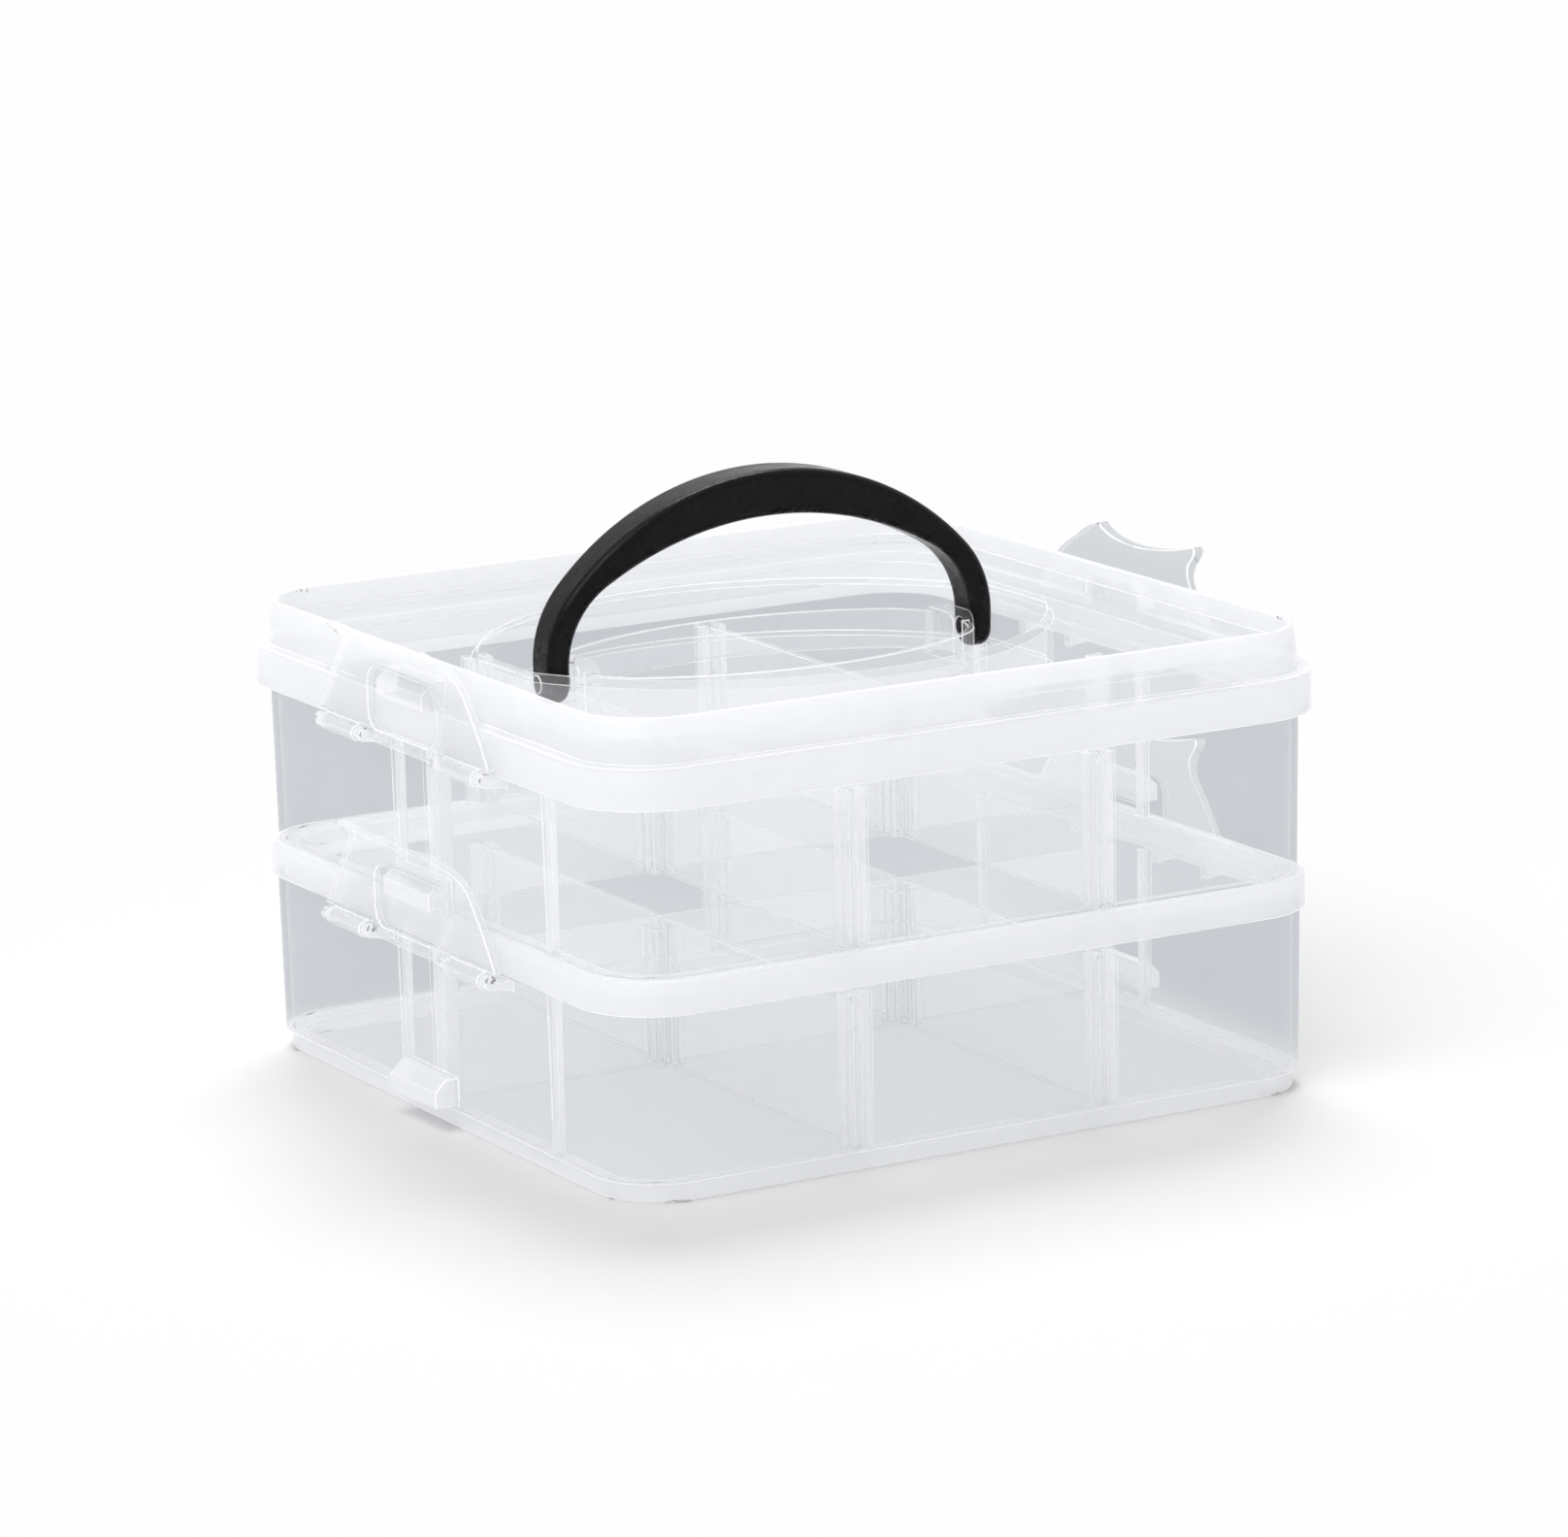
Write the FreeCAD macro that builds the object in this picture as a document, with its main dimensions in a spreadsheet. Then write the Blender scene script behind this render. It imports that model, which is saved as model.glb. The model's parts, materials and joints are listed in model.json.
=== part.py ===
import FreeCAD, Part
import math
import os
import re
import Sketcher

# Two-tier stackable storage box: two identical trays with dividers, a lid with an oval well, a
# carry handle that folds into the well, and four latches. Millimetres and degrees, +Z up, the
# origin under the middle of the footprint; X runs along the long sides, latches on both X ends.

SIZES = {
    # lid skirt, the widest outline of the box in plan
    "skirt_length": 150.0,
    "skirt_depth": 150.0,
    "skirt_radius": 16.0,
    "skirt_wall": 1.1,
    "skirt_gap": 0.3,
    # tray, one tier of the stack
    "tier_pitch": 36.4,
    "nest_depth": 3.6,
    "nest_gap": 0.35,
    "flange_overhang": 0.9,
    "flange_height": 6.2,
    "wall_thickness": 1.2,
    "wall_draft": 0.8,
    "floor_thickness": 1.2,
    "foot_recess": 2.6,
    "foot_width": 2.2,
    "foot_round": 0.6,
    "mouth_round": 0.4,
    # divider ribs on the tray walls and the dividers between them
    "divider_thickness": 1.5,
    "divider_height": 28.0,
    "divider_end_gap": 0.35,
    "divider_round": 2.0,
    "slot_gap": 0.3,
    "rib_thickness": 1.6,
    "rib_depth": 2.6,
    "rib_height": 28.2,
    "cross_spacing": 50.8,
    "bar_width": 2.4,
    "bar_depth": 1.3,
    "bar_near": 14.0,
    "bar_far": 44.0,
    # lid
    "ledge_thickness": 1.4,
    "rim_inset": 2.3,
    "rim_height": 9.4,
    "rim_wall": 1.3,
    "rim_lean": 6.0,
    "rim_round": 0.5,
    "plate_level": 5.5,
    "plate_thickness": 1.4,
    "plug_wall": 1.2,
    # carry handle, thicker and wider at the crown than at its legs
    "handle_half_span": 46.8,
    "handle_rise": 34.7,
    "handle_straight": 3.0,
    "handle_corner": 20.25,
    "handle_inner_corner": 16.0,
    "handle_thickness": 8.5,
    "handle_width": 10.0,
    "leg_thickness": 4.6,
    "leg_width": 7.6,
    "handle_round": 1.6,
    "handle_bore": 4.2,
    # well in the lid that the handle folds into, set back from the middle, with its pivot posts
    "pivot_pin": 3.6,
    "pivot_level": 0.6,
    "fold_gap": 0.3,
    "well_shift": 3.4,
    "well_half_length": 54.0,
    "well_half_depth": 44.0,
    "well_straight": 9.0,
    "well_corner": 5.0,
    "well_wall": 1.2,
    "ring_margin": 1.6,
    "ring_wall": 1.3,
    "ring_height": 7.4,
    "post_gap": 0.6,
    "post_thickness": 4.5,
    "post_half_width": 5.2,
    "post_round": 2.2,
    "post_rise": 3.8,
    "pin_overhang": 0.8,
    # latches, their hinges and the nubs they catch on
    "latch_gap": 0.4,
    "latch_thickness": 1.4,
    "latch_height": 20.8,
    "latch_straight": 14.0,
    "latch_base_half": 34.5,
    "latch_side_radius": 70.0,
    "latch_tip_half": 19.6,
    "latch_tip_level": 18.4,
    "latch_tip_radius": 3.6,
    "latch_peak_half": 16.2,
    "latch_dip_radius": 72.0,
    "flare_radius": 4.5,
    "flare_angle": 52.0,
    "flare_leaf": 6.0,
    "window_half": 13.0,
    "window_sill": 1.6,
    "window_round": 3.4,
    "sill_drop": 0.8,
    "hinge_drop": 0.6,
    "knuckle_radius": 1.6,
    "knuckle_start": 16.5,
    "knuckle_end": 30.0,
    "knuckle_gap": 0.3,
    "hinge_bore": 1.9,
    "hinge_pin": 1.3,
    "lug_thickness": 2.2,
    "lug_radius": 1.3,
    "lug_depth": 2.6,
    "lug_clearance": 0.4,
    "nub_width": 18.0,
    "nub_lift": 1.4,
    "nub_height": 3.0,
    "nub_ramp": 2.2,
    "nub_reach": 2.0,
    "catch_gap": 0.3,
    # slack for telling which edges lie at one height
    "level_slack": 0.01,
}

FORMULAS = {
    # outlines, each a full length and depth over the two sides
    "wall_length": "skirt_length - 2 * (skirt_wall + skirt_gap + flange_overhang)",
    "wall_depth": "skirt_depth - 2 * (skirt_wall + skirt_gap + flange_overhang)",
    "wall_radius": "skirt_radius - skirt_wall - skirt_gap - flange_overhang",
    "flange_length": "wall_length + 2 * flange_overhang",
    "flange_depth": "wall_depth + 2 * flange_overhang",
    "flange_radius": "wall_radius + flange_overhang",
    "mouth_length": "wall_length - 2 * wall_thickness",
    "mouth_depth": "wall_depth - 2 * wall_thickness",
    "mouth_radius": "wall_radius - wall_thickness",
    "plug_length": "mouth_length - 2 * nest_gap",
    "plug_depth": "mouth_depth - 2 * nest_gap",
    "plug_radius": "mouth_radius - nest_gap",
    # heights inside one tray, above its own foot
    "tray_height": "tier_pitch + nest_depth",
    "flange_level": "tray_height - flange_height",
    "floor_level": "foot_recess + floor_thickness",
    "wall_shrink": "(tray_height - nest_depth) * tan(wall_draft)",
    "base_length": "wall_length - 2 * wall_shrink",
    "base_depth": "wall_depth - 2 * wall_shrink",
    "base_radius": "wall_radius - wall_shrink",
    "floor_shrink": "(tray_height - floor_level) * tan(wall_draft)",
    "floor_half_length": "mouth_length / 2 - floor_shrink",
    "floor_half_depth": "mouth_depth / 2 - floor_shrink",
    # dividers
    "slot_half": "divider_thickness / 2 + slot_gap",
    "cross_half": "cross_spacing / 2",
    "rib_root": "wall_thickness - floor_shrink / 2",
    "long_divider_half": "floor_half_length - divider_end_gap",
    "short_divider_start": "divider_thickness / 2 + divider_end_gap",
    "short_divider_end": "floor_half_depth - divider_end_gap",
    # lid, heights above the seat on the upper tray's mouth
    "lid_level": "2 * tier_pitch + nest_depth",
    "rim_shrink": "(rim_height - ledge_thickness) * tan(rim_lean)",
    "rim_length": "skirt_length - 2 * rim_inset",
    "rim_depth": "skirt_depth - 2 * rim_inset",
    "rim_radius": "skirt_radius - rim_inset",
    "rim_mouth_inset": "rim_inset + rim_shrink + rim_wall",
    "plate_under": "plate_level - plate_thickness",
    # well and pivots, depths below the lid's seat
    "well_depth": "handle_width / 2 + fold_gap - pivot_level",
    "well_under": "well_depth + well_wall",
    "handle_inner_span": "handle_half_span - leg_thickness",
    "handle_inner_rise": "handle_rise - handle_thickness",
    "side_top": "handle_rise + handle_thickness",
    "side_reach": "sqrt(handle_width * handle_width / 4 + side_top * side_top)",
    "side_slope": "acos(leg_width / 2 / side_reach) - atan(2 * side_top / handle_width)",
    "post_outer": "handle_inner_span - post_gap",
    "post_inner": "post_outer - post_thickness",
    "post_top": "pivot_level + post_rise",
    "pin_end": "handle_half_span + pin_overhang",
    # latch, measured from its hinge line
    "hinge_out": "latch_gap + knuckle_radius",
    "hinge_x": "skirt_length / 2 + hinge_out",
    "hinge_level": "flange_level - hinge_drop",
    "latch_inner": "latch_gap - hinge_out",
    "latch_outer": "latch_inner + latch_thickness",
    "nub_tip": "skirt_length / 2 + nub_reach",
    "nub_crest": "nub_lift + nub_height",
    "window_top": "hinge_drop + flange_height + nub_crest + nub_reach - latch_gap + catch_gap",
    "flare_outer": "flare_radius + latch_thickness",
    "flare_centre": "latch_outer + flare_radius",
    "flare_out": "flare_leaf * sin(flare_angle)",
    "flare_up": "flare_leaf * cos(flare_angle)",
    "lug_inner": "knuckle_start - knuckle_gap - lug_thickness",
    "lug_outer": "knuckle_end + knuckle_gap",
    "lug_end": "lug_outer + lug_thickness",
    "notch_top": "lug_radius + lug_clearance",
}

doc = FreeCAD.newDocument("storage_box")
sheet = doc.addObject("Spreadsheet::Sheet", "Dim")
rows = [(name, str(number)) for name, number in SIZES.items()]
rows += [(name, "=" + formula) for name, formula in FORMULAS.items()]
for row, (name, text) in enumerate(rows, start=1):
    sheet.set(f"A{row}", name)
    sheet.set(f"B{row}", text)
    sheet.setAlias(f"B{row}", name)
doc.recompute()


def bound(formula):
    """A formula in the names of the sheet, written so that another object can use it."""
    def full_name(match):
        word = match.group()
        return "Dim." + word if word in SIZES or word in FORMULAS else word
    return re.sub("[a-z_]+", full_name, formula)


def value(formula):
    return float(sheet.evalExpression(bound(formula)))


def new_body(label):
    body = doc.addObject("PartDesign::Body", label)
    body.Label = label
    return body


def new_sketch(body, name, plane="XY_Plane", offset="0", back="0"):
    """An empty sketch on one of the body's own planes, raised by a formula along its normal; on a
    plane that holds the Y direction, back moves it that far towards +Y."""
    sketch = body.newObject("Sketcher::SketchObject", f"{body.Label}_{name}")
    origin_plane = next(item for item in body.Origin.OriginFeatures if item.Role == plane)
    sketch.AttachmentSupport = (origin_plane, [""])
    sketch.MapMode = "FlatFace"
    sketch.setExpression("AttachmentOffset.Base.z", bound(offset))
    along = "x" if plane == "YZ_Plane" else "y"
    sketch.setExpression(f"AttachmentOffset.Base.{along}", bound(back))
    return sketch


def fix_point(sketch, geometry, point, x, y):
    for axis, kind, formula in ((-2, "DistanceX", x), (-1, "DistanceY", y)):
        if formula == "0":
            sketch.addConstraint(Sketcher.Constraint("PointOnObject", geometry, point, axis))
            continue
        length = value(formula)
        index = sketch.addConstraint(Sketcher.Constraint(kind, -1, 1, geometry, point, length))
        sketch.setExpression(f"Constraints[{index}]", bound(formula))


def fix_radius(sketch, geometry, radius):
    index = sketch.addConstraint(Sketcher.Constraint("Radius", geometry, value(radius)))
    sketch.setExpression(f"Constraints[{index}]", bound(radius))


def outline(sketch, corners, closed=True):
    """Lines and arcs from corner to corner. A corner is (x, y), or (x, y, radius, turn) where an
    arc leads on from it, turn being 1 for an arc that turns left and -1 for one to the right."""
    ends = []
    count = len(corners) if closed else len(corners) - 1
    for step in range(count):
        corner = corners[step]
        following = corners[(step + 1) % len(corners)]
        start = FreeCAD.Vector(value(corner[0]), value(corner[1]), 0)
        stop = FreeCAD.Vector(value(following[0]), value(following[1]), 0)
        if len(corner) == 2:
            geometry = sketch.addGeometry(Part.LineSegment(start, stop))
            ends.append((geometry, 1, 2))
            continue
        radius, turn = value(corner[2]), corner[3]
        chord = stop - start
        left = FreeCAD.Vector(-chord.y, chord.x, 0).normalize() * turn
        rise = math.sqrt(max(radius ** 2 - (chord.Length / 2) ** 2, 0))
        crest = (start + stop) / 2 + left * (rise - radius)
        first, last = (start, stop) if turn > 0 else (stop, start)
        geometry = sketch.addGeometry(Part.Arc(first, crest, last))
        ends.append((geometry, 1, 2) if turn > 0 else (geometry, 2, 1))
    for step, (geometry, first, last) in enumerate(ends):
        fix_point(sketch, geometry, first, corners[step][0], corners[step][1])
        if step + 1 < len(ends) or closed:
            after, after_first, _ = ends[(step + 1) % len(ends)]
            joined = Sketcher.Constraint("Coincident", geometry, last, after, after_first)
            sketch.addConstraint(joined)
        else:
            fix_point(sketch, geometry, last, corners[-1][0], corners[-1][1])
        if len(corners[step]) > 2:
            fix_radius(sketch, geometry, corners[step][2])


def circle(sketch, x, y, radius):
    centre = FreeCAD.Vector(value(x), value(y), 0)
    up = FreeCAD.Vector(0, 0, 1)
    geometry = sketch.addGeometry(Part.Circle(centre, up, value(radius)))
    fix_point(sketch, geometry, 3, x, y)
    fix_radius(sketch, geometry, radius)


def block(sketch, x_from, x_to, y_from, y_to):
    outline(sketch, [(x_from, y_from), (x_to, y_from), (x_to, y_to), (x_from, y_to)])


def rounded(sketch, length, depth, radius, inset="0", shift="0"):
    """A rectangle with round corners, drawn an inset inside its nominal size; shift moves its
    middle towards -X."""
    end = f"({length} / 2 - {inset})"
    side = f"({depth} / 2 - {inset})"
    curve = f"({radius} - {inset})"
    far, wide = f"({end} - {curve})", f"({side} - {curve})"
    outline(sketch, [
        (f"0 - {far} - {shift}", f"0 - {side}"),
        (f"{far} - {shift}", f"0 - {side}", curve, 1),
        (f"{end} - {shift}", f"0 - {wide}"),
        (f"{end} - {shift}", wide, curve, 1),
        (f"{far} - {shift}", side),
        (f"0 - {far} - {shift}", side, curve, 1),
        (f"0 - {end} - {shift}", wide),
        (f"0 - {end} - {shift}", f"0 - {wide}", curve, 1),
    ])


def arch(half_span, rise, straight, corner, inset="0", foot="0"):
    """Corners of a three-centre arch from its right foot over the crown to its left foot, drawn
    an inset inside the arch of the given sizes."""
    run = f"({half_span} - {corner})"
    climb = f"({rise} - {straight} - {corner})"
    drop = f"(({run} * {run} - {climb} * {climb}) / (2 * {climb}))"
    bend = f"({corner} - {inset})"
    crown = f"({rise} - {straight} + {drop} - {inset})"
    joint = f"({crown} * sin(atan({run} / {drop})))"
    top = f"({straight} - {drop} + {crown} * cos(atan({run} / {drop})))"
    end = f"({half_span} - {inset})"
    return [
        (end, foot),
        (end, straight, bend, 1),
        (joint, top, crown, 1),
        (f"0 - {joint}", top, bend, 1),
        (f"0 - {end}", straight),
        (f"0 - {end}", foot),
    ]


def backward(corners):
    """The same corners passed in the opposite direction."""
    back = []
    for step in range(len(corners) - 1, -1, -1):
        curve = corners[step - 1][2:] if step else ()
        spot = corners[step][:2]
        back.append((*spot, curve[0], -1) if curve else spot)
    return back


def turned(corners):
    """The same corners half a turn about the origin."""
    return [(f"0 - ({x})", f"0 - ({y})", *curve) for x, y, *curve in corners]


def oval(sketch, half_span, rise, straight, corner, inset="0"):
    """A closed oval made of an arch and the same arch turned half round."""
    upper = arch(half_span, rise, straight, corner, inset)[1:-1]
    outline(sketch, upper + turned(upper))


def grow(body, sketch, length, taper=None, symmetric=False):
    """Adds the sketch's outline, pulled along its normal; a taper above zero widens it."""
    feature = body.newObject("PartDesign::Pad", sketch.Label + "_pad")
    feature.Profile = sketch
    feature.setExpression("Length", bound(length))
    if taper:
        feature.setExpression("TaperAngle", bound(taper))
    if symmetric:
        feature.SideType = "Symmetric"
    return feature


def cut(body, sketch, length=None, taper=None, upward=False):
    """Takes the outline away against the sketch's normal, or right through where no length is."""
    feature = body.newObject("PartDesign::Pocket", sketch.Label + "_pocket")
    feature.Profile = sketch
    feature.Reversed = upward
    if length:
        feature.setExpression("Length", bound(length))
    else:
        feature.Type = "ThroughAll"
        feature.SideType = "Symmetric"
    if taper:
        feature.setExpression("TaperAngle", bound(taper))
    return feature


def opposite(body, features):
    """Repeats features half a turn away about the upright axis."""
    pattern = body.newObject("PartDesign::PolarPattern", f"{body.Label}_other_end")
    pattern.Originals = features
    upright = next(item for item in body.Origin.OriginFeatures if item.Role == "Z_Axis")
    pattern.Axis = (upright, [""])
    pattern.Occurrences = 2
    body.Tip = pattern


def mirrored(body, features):
    """Repeats features on the other side of the upright plane between the two latch ends."""
    copies = body.newObject("PartDesign::Mirrored", f"{body.Label}_other_side")
    copies.Originals = features
    middle = next(item for item in body.Origin.OriginFeatures if item.Role == "YZ_Plane")
    copies.MirrorPlane = (middle, [""])
    body.Tip = copies


def soften(body, feature, level, radius):
    """Rounds the edges that lie flat at one height."""
    doc.recompute()
    height = value(level)
    names = []
    for number, edge in enumerate(feature.Shape.Edges, start=1):
        box = edge.BoundBox
        if max(abs(box.ZMin - height), abs(box.ZMax - height)) < value("level_slack"):
            names.append(f"Edge{number}")
    fillet = body.newObject("PartDesign::Fillet", f"{body.Label}_{radius}")
    fillet.Base = (feature, names)
    fillet.setExpression("Radius", bound(radius))
    return fillet


def soften_along(body, feature, radius):
    """Rounds every edge that runs along the bail, but none of those that go straight across it."""
    doc.recompute()
    slack = value("level_slack")
    names = []
    for number, edge in enumerate(feature.Shape.Edges, start=1):
        box = edge.BoundBox
        if box.ZLength > slack and max(box.XLength, box.ZLength) > slack:
            names.append(f"Edge{number}")
    fillet = body.newObject("PartDesign::Fillet", f"{body.Label}_{radius}")
    fillet.Base = (feature, names)
    fillet.setExpression("Radius", bound(radius))
    return fillet


def add_nub(body, seat, root):
    """The catch for a latch window, with a ramp on top that the window's edge rides down."""
    sketch = new_sketch(body, "nub", "XZ_Plane")
    low, high = f"{seat} + nub_lift", f"{seat} + nub_crest"
    outline(sketch, [
        (root, low),
        ("nub_tip", low),
        ("nub_tip", high),
        ("nub_tip - nub_ramp", f"{high} + nub_ramp"),
        (root, f"{high} + nub_ramp"),
    ])
    return grow(body, sketch, "nub_width", symmetric=True)


def build_tray(label):
    body = new_body(label)
    foot = new_sketch(body, "foot")
    rounded(foot, "plug_length", "plug_depth", "plug_radius")
    grow(body, foot, "nest_depth")
    walls = new_sketch(body, "walls", offset="nest_depth")
    rounded(walls, "base_length", "base_depth", "base_radius")
    grow(body, walls, "tray_height - nest_depth", taper="wall_draft")
    flange = new_sketch(body, "flange", offset="flange_level")
    rounded(flange, "flange_length", "flange_depth", "flange_radius")
    grow(body, flange, "flange_height")
    cavity = new_sketch(body, "cavity", offset="tray_height")
    rounded(cavity, "mouth_length", "mouth_depth", "mouth_radius")
    cut(body, cavity, "tray_height - floor_level", taper="0 - wall_draft")
    recess = new_sketch(body, "recess")
    rounded(recess, "plug_length", "plug_depth", "plug_radius", "foot_width")
    solid = cut(body, recess, "foot_recess", upward=True)
    solid = soften(body, solid, "0", "foot_round")
    soften(body, solid, "tray_height", "mouth_round")

    ribs = new_sketch(body, "ribs", offset="floor_level")
    for across in ("0 - cross_half", "cross_half"):
        for side in (-1, 1):
            near = f"{across} + slot_half * {side}"
            far = f"{across} + (slot_half + rib_thickness) * {side}"
            for wall in (-1, 1):
                inner = f"(floor_half_depth - rib_depth) * {wall}"
                outer = f"(floor_half_depth + rib_root) * {wall}"
                block(ribs, near, far, inner, outer)
    for side in (-1, 1):
        near, far = f"slot_half * {side}", f"(slot_half + rib_thickness) * {side}"
        for wall in (-1, 1):
            inner = f"(floor_half_length - rib_depth) * {wall}"
            outer = f"(floor_half_length + rib_root) * {wall}"
            block(ribs, inner, outer, near, far)
    grow(body, ribs, "rib_height")

    bars = new_sketch(body, "bars", offset="floor_level")
    for place in ("bar_far", "0 - bar_near"):
        block(bars, "floor_half_length - bar_depth", "floor_half_length + rib_root",
              f"{place} - bar_width / 2", f"{place} + bar_width / 2")
    bar_pads = grow(body, bars, "flange_level - floor_level")

    nub = add_nub(body, "nest_depth", "base_length / 2 - rib_root / 2")

    ends = [bar_pads, nub]
    spots = ("lug_inner", "lug_outer", "0 - lug_inner - lug_thickness", "0 - lug_end")
    for number, spot in enumerate(spots, start=1):
        lug = new_sketch(body, f"lug_{number}", "XZ_Plane", spot)
        outline(lug, [
            ("wall_length / 2 - rib_root", "flange_level - lug_depth"),
            ("hinge_x", "hinge_level - lug_radius", "lug_radius", 1),
            ("hinge_x + lug_radius", "hinge_level", "lug_radius", 1),
            ("hinge_x", "hinge_level + lug_radius", "lug_radius", 1),
            ("hinge_x - lug_radius", "hinge_level"),
            ("flange_length / 2 - knuckle_gap", "hinge_level"),
            ("flange_length / 2 - knuckle_gap", "flange_level + flange_overhang"),
            ("wall_length / 2 - rib_root", "flange_level + flange_overhang"),
        ])
        ends.append(grow(body, lug, "lug_thickness"))
    for number, spot in enumerate(("lug_inner", "0 - lug_end"), start=1):
        pin = new_sketch(body, f"hinge_pin_{number}", "XZ_Plane", spot)
        circle(pin, "hinge_x", "hinge_level", "hinge_pin / 2")
        ends.append(grow(body, pin, "lug_end - lug_inner"))
    opposite(body, ends)
    return body


def build_lid(label):
    body = new_body(label)
    skirt = new_sketch(body, "skirt", offset="0 - flange_height")
    rounded(skirt, "skirt_length", "skirt_depth", "skirt_radius")
    grow(body, skirt, "flange_height + ledge_thickness")
    rim = new_sketch(body, "rim", offset="ledge_thickness")
    rounded(rim, "rim_length", "rim_depth", "rim_radius")
    grow(body, rim, "rim_height - ledge_thickness", taper="0 - rim_lean")
    inside = new_sketch(body, "skirt_inside", offset="0 - flange_height")
    rounded(inside, "skirt_length", "skirt_depth", "skirt_radius", "skirt_wall")
    cut(body, inside, "flange_height", upward=True)
    under = new_sketch(body, "under_plate")
    rounded(under, "plug_length", "plug_depth", "plug_radius", "plug_wall")
    cut(body, under, "plate_under", upward=True)
    tray_top = new_sketch(body, "rim_mouth", offset="rim_height")
    rounded(tray_top, "skirt_length", "skirt_depth", "skirt_radius", "rim_mouth_inset")
    solid = cut(body, tray_top, "rim_height - plate_level", taper="rim_lean")
    soften(body, solid, "rim_height", "rim_round")

    plug = new_sketch(body, "plug", offset="0 - nest_depth")
    rounded(plug, "plug_length", "plug_depth", "plug_radius")
    rounded(plug, "plug_length", "plug_depth", "plug_radius", "plug_wall")
    grow(body, plug, "nest_depth")

    well_shape = ("well_half_length", "well_half_depth", "well_straight", "well_corner")
    tub = new_sketch(body, "well_tub", offset="0 - well_under", back="well_shift")
    oval(tub, *well_shape, inset="(0 - well_wall)")
    grow(body, tub, "well_under + plate_under")
    well = new_sketch(body, "well", offset="plate_level", back="well_shift")
    oval(well, *well_shape)
    cut(body, well, "plate_level + well_depth")
    ring_shape = ("handle_inner_span", "handle_inner_rise", "handle_straight", "handle_inner_corner")
    ring = new_sketch(body, "well_ring", offset="0 - well_depth", back="well_shift")
    oval(ring, *ring_shape, inset="ring_margin")
    oval(ring, *ring_shape, inset="(ring_margin + ring_wall)")
    grow(body, ring, "ring_height")

    post = new_sketch(body, "post", "YZ_Plane", "post_inner", back="well_shift")
    outline(post, [
        ("0 - post_half_width", "0 - well_depth - well_wall / 2"),
        ("post_half_width", "0 - well_depth - well_wall / 2"),
        ("post_half_width", "post_top - post_round", "post_round", 1),
        ("post_half_width - post_round", "post_top"),
        ("post_round - post_half_width", "post_top", "post_round", 1),
        ("0 - post_half_width", "post_top - post_round"),
    ])
    post_pad = grow(body, post, "post_thickness")
    pin = new_sketch(body, "pivot_pin", "YZ_Plane", "post_inner", back="well_shift")
    circle(pin, "0", "pivot_level", "pivot_pin / 2")
    pin_pad = grow(body, pin, "pin_end - post_inner")
    nub = add_nub(body, "0 * nub_lift", "rim_length / 2 - rim_wall")
    mirrored(body, [post_pad, pin_pad, nub])
    return body


def build_handle(label):
    """The bail upright over its pivot line: an arch whose crown is thicker and wider than its
    legs, each of which ends in a round eye."""
    body = new_body(label)
    bow = new_sketch(body, "bow", "XZ_Plane")
    foot = "0 - leg_width"
    outer = arch("handle_half_span", "handle_rise", "handle_straight", "handle_corner", foot=foot)
    inner = arch("handle_inner_span", "handle_inner_rise", "handle_straight",
                 "handle_inner_corner", foot=foot)
    outline(bow, outer + backward(inner))
    grow(body, bow, "handle_width", symmetric=True)
    sides = new_sketch(body, "sides", "YZ_Plane")
    block(sides, "0 - handle_width", "handle_width", "0 - 2 * leg_width", "2 * handle_rise")
    touch_y = "leg_width / 2 * cos(side_slope)"
    touch_z = "0 - leg_width / 2 * sin(side_slope)"
    outline(sides, [
        (touch_y, touch_z),
        ("handle_width / 2", "side_top"),
        ("0 - handle_width / 2", "side_top"),
        (f"0 - {touch_y}", touch_z, "leg_width / 2", 1),
    ])
    solid = cut(body, sides)
    soften_along(body, solid, "handle_round")
    bore = new_sketch(body, "bore", "YZ_Plane")
    circle(bore, "0", "0", "handle_bore / 2")
    cut(body, bore)
    return body


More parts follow.
